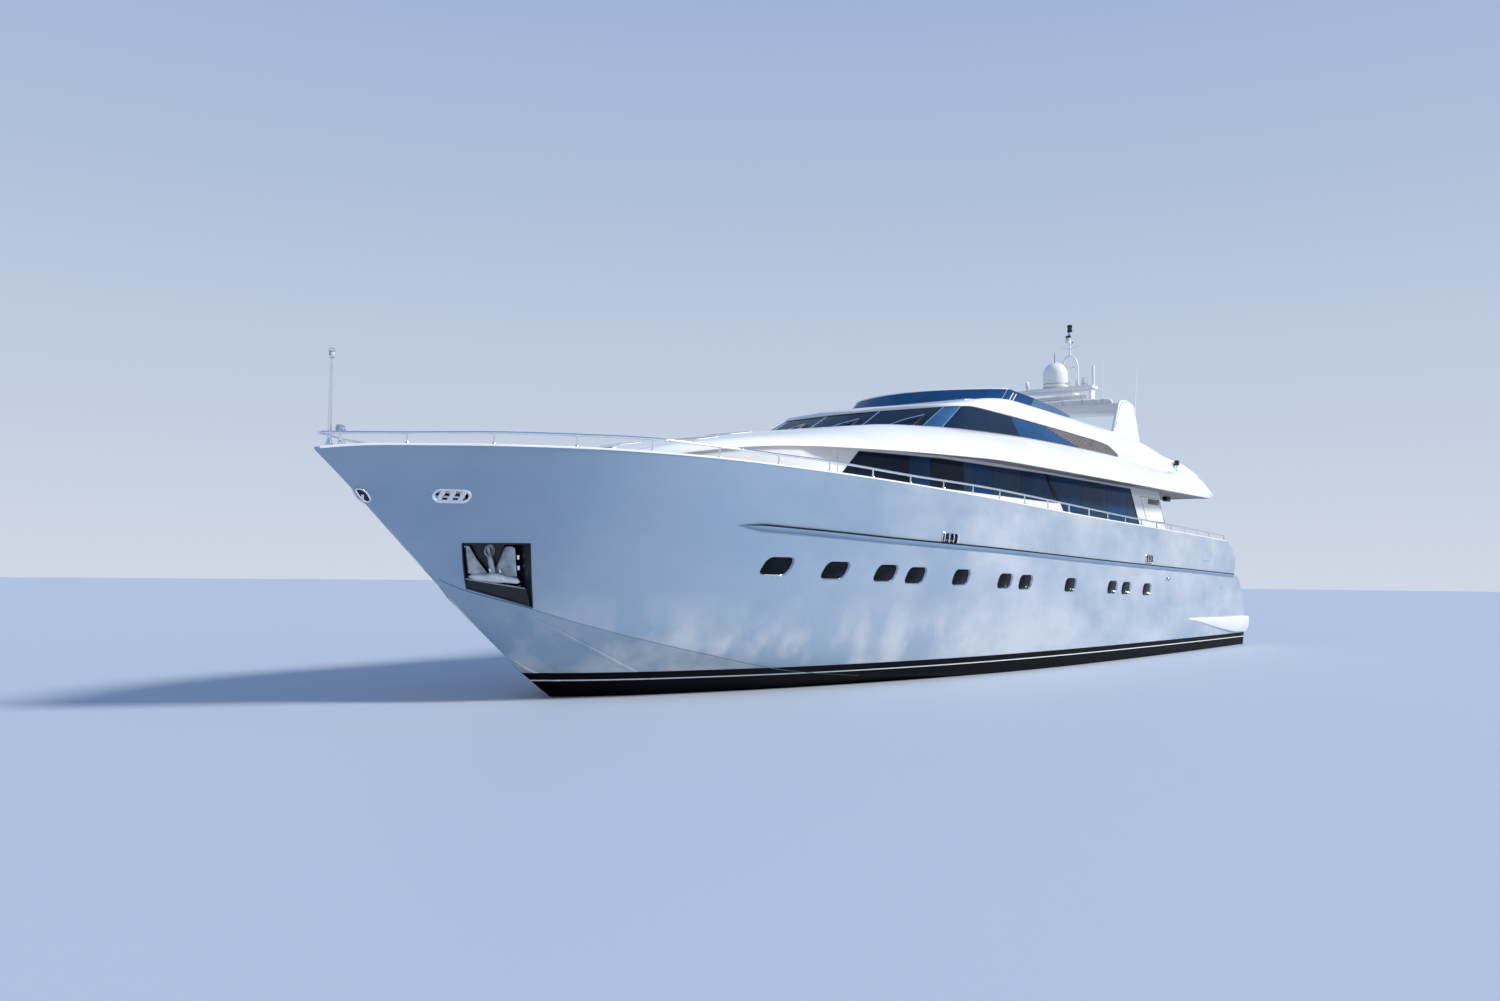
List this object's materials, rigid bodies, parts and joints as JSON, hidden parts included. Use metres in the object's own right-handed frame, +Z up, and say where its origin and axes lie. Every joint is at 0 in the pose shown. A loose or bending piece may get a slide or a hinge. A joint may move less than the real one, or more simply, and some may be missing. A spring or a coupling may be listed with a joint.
{
  "type": "motor yacht",
  "caption": "Flybridge motor yacht afloat, with turning propellers, rudders and radar, sliding saloon doors, boarding gates, a garage door and a foredeck hatch.",
  "frame": {"origin": "on the waterline and the centreline, half-way along the overall length", "axes": "+X to the bow, +Y to port, +Z up"},
  "size_m": [31.3, 7.0106, 11.3472],
  "materials": {
    "silver_paint": "metallic silver paint on glass-fibre laminate",
    "white_gelcoat": "polished white gelcoat",
    "dark_strake": "dark blue paint",
    "tinted_glass": "dark blue tinted glass",
    "polished_steel": "mirror-polished stainless steel",
    "bronze": "cast and machined bronze",
    "teak": "oiled teak",
    "cushion_fabric": "woven outdoor cushion cover",
    "engine_grey": "grey enamel"
  },
  "bodies": {
    "yacht": {"hull_forepeak": "silver_paint", "hull": "silver_paint", "hull_stern": "silver_paint", "bulwark_port": "silver_paint", "bulwark_starboard": "silver_paint", "transom_coaming": "white_gelcoat", "swim_platform": "white_gelcoat", "rub_rail_port": "dark_strake", "rub_rail_starboard": "dark_strake", "coachroof": "white_gelcoat", "upper_deck": "white_gelcoat", "house_trunk": "white_gelcoat", "house_wall_port": "white_gelcoat", "house_wall_starboard": "white_gelcoat", "saloon_glass_forward_port": "tinted_glass", "saloon_glass_forward_starboard": "tinted_glass", "saloon_glass_aft_port": "tinted_glass", "saloon_glass_aft_starboard": "tinted_glass", "saloon_bulkhead": "white_gelcoat", "wheelhouse_roof": "white_gelcoat", "windshield": "tinted_glass", "wheelhouse_glass_port": "tinted_glass", "wheelhouse_glass_starboard": "tinted_glass", "wheelhouse_frame": "white_gelcoat", "flybridge_coaming_port": "white_gelcoat", "flybridge_coaming_starboard": "white_gelcoat", "flybridge_dash": "white_gelcoat", "flybridge_screen": "tinted_glass", "radar_arch": "white_gelcoat", "mast_platform": "white_gelcoat", "mast": "white_gelcoat", "satellite_dome": "white_gelcoat", "helm_seat": "cushion_fabric", "flybridge_settee": "cushion_fabric", "flybridge_table": "teak", "flybridge_sunpad": "cushion_fabric", "aft_settee": "cushion_fabric", "aft_table": "teak", "windlass_port": "polished_steel", "windlass_starboard": "polished_steel", "rail_port": "polished_steel", "rail_starboard": "polished_steel", "jackstaff": "polished_steel", "anchor_port": "polished_steel", "anchor_starboard": "polished_steel", "shaft_port": "bronze", "shaft_starboard": "bronze", "engine_port": "engine_grey", "engine_starboard": "engine_grey"},
    "gate_port": {"boarding_gate_port": "silver_paint"},
    "gate_starboard": {"boarding_gate_starboard": "silver_paint"},
    "tender_door": {"garage_door": "silver_paint"},
    "door_port": {"saloon_door_port": "tinted_glass"},
    "door_starboard": {"saloon_door_starboard": "tinted_glass"},
    "scanner": {"radar_scanner": "white_gelcoat"},
    "foredeck_hatch": {"hatch_lid": "white_gelcoat"},
    "prop_port": {"propeller_port": "bronze"},
    "prop_starboard": {"propeller_starboard": "bronze"},
    "helm_blade_port": {"rudder_port": "bronze"},
    "helm_blade_starboard": {"rudder_starboard": "bronze"}
  },
  "joints": [
    {"name": "propeller_port_turn", "type": "hinge", "parent": "yacht", "child": "prop_port", "pos_m": [-12.75, 1.25, -1.4], "axis": [0.9903, 0, 0.1386], "continuous": true},
    {"name": "propeller_starboard_turn", "type": "hinge", "parent": "yacht", "child": "prop_starboard", "pos_m": [-12.75, -1.25, -1.4], "axis": [0.9903, 0, 0.1386], "continuous": true},
    {"name": "rudder_port_steer", "type": "hinge", "parent": "yacht", "child": "helm_blade_port", "pos_m": [-13.6, 1.25, -1.3], "axis": [0, 0, 1], "range_deg": [-35, 35]},
    {"name": "rudder_starboard_steer", "type": "hinge", "parent": "yacht", "child": "helm_blade_starboard", "pos_m": [-13.6, -1.25, -1.3], "axis": [0, 0, 1], "range_deg": [-35, 35]},
    {"name": "radar_turn", "type": "hinge", "parent": "yacht", "child": "scanner", "pos_m": [-7.8, 0, 7.09], "axis": [0, 0, 1], "continuous": true},
    {"name": "saloon_door_port_slide", "type": "slide", "parent": "yacht", "child": "door_port", "axis": [0, 1, 0], "range_m": [0, 1.08]},
    {"name": "saloon_door_starboard_slide", "type": "slide", "parent": "yacht", "child": "door_starboard", "axis": [0, -1, 0], "range_m": [0, 1.08]},
    {"name": "boarding_gate_port_swing", "type": "hinge", "parent": "yacht", "child": "gate_port", "pos_m": [-10.08, 3.2391, 2.8], "axis": [0, 0, 1], "range_deg": [0, 90]},
    {"name": "boarding_gate_starboard_swing", "type": "hinge", "parent": "yacht", "child": "gate_starboard", "pos_m": [-10.08, -3.2391, 2.8], "axis": [0, 0, -1], "range_deg": [0, 90]},
    {"name": "garage_door_lift", "type": "hinge", "parent": "yacht", "child": "tender_door", "pos_m": [-13.176, 0, 2.155], "axis": [0, 1, 0], "range_deg": [0, 75]},
    {"name": "hatch_lid_lift", "type": "hinge", "parent": "yacht", "child": "foredeck_hatch", "pos_m": [11.8, 0, 3.057], "axis": [0, -1, 0], "range_deg": [0, 75]}
  ],
  "couplings": [
    {"joint": "rudder_starboard_steer", "follows": "rudder_port_steer", "ratio": 1}
  ]
}
